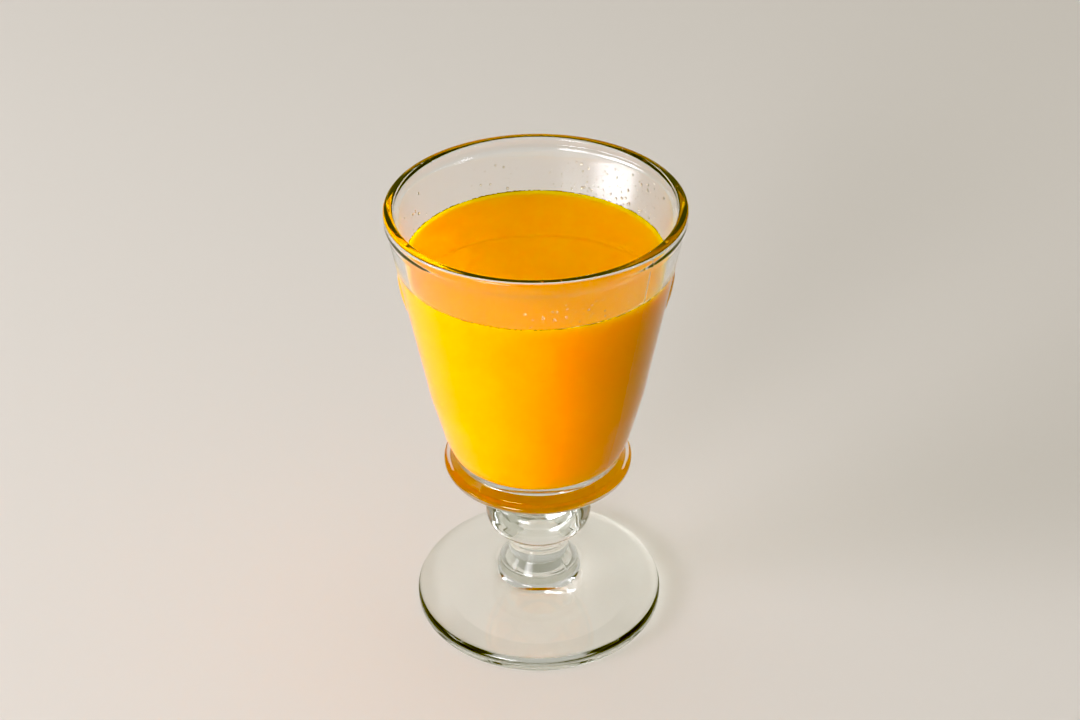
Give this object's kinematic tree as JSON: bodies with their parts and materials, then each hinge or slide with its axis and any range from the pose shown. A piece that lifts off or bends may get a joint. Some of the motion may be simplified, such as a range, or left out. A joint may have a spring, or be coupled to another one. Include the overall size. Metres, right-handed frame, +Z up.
{
  "type": "glass of orange juice",
  "caption": "Footed goblet of clear pressed glass with a flared bowl, collar ring, round knop and disc foot, filled with orange juice to a finger below the rim.",
  "frame": {"origin": "centre of the flat ring under the foot, at the height of the surface that the goblet stands on", "axes": "+Z up the stem to the rim; X and Y point to the four raised cabochons on the bowl"},
  "size_m": [0.086, 0.086, 0.143],
  "materials": {
    "clear_glass": "fire-polished pressed soda-lime glass",
    "juice": "cloudy orange juice with a wet surface"
  },
  "bodies": {
    "root": {"goblet": "clear_glass", "orange_juice": "juice"}
  },
  "joints": []
}
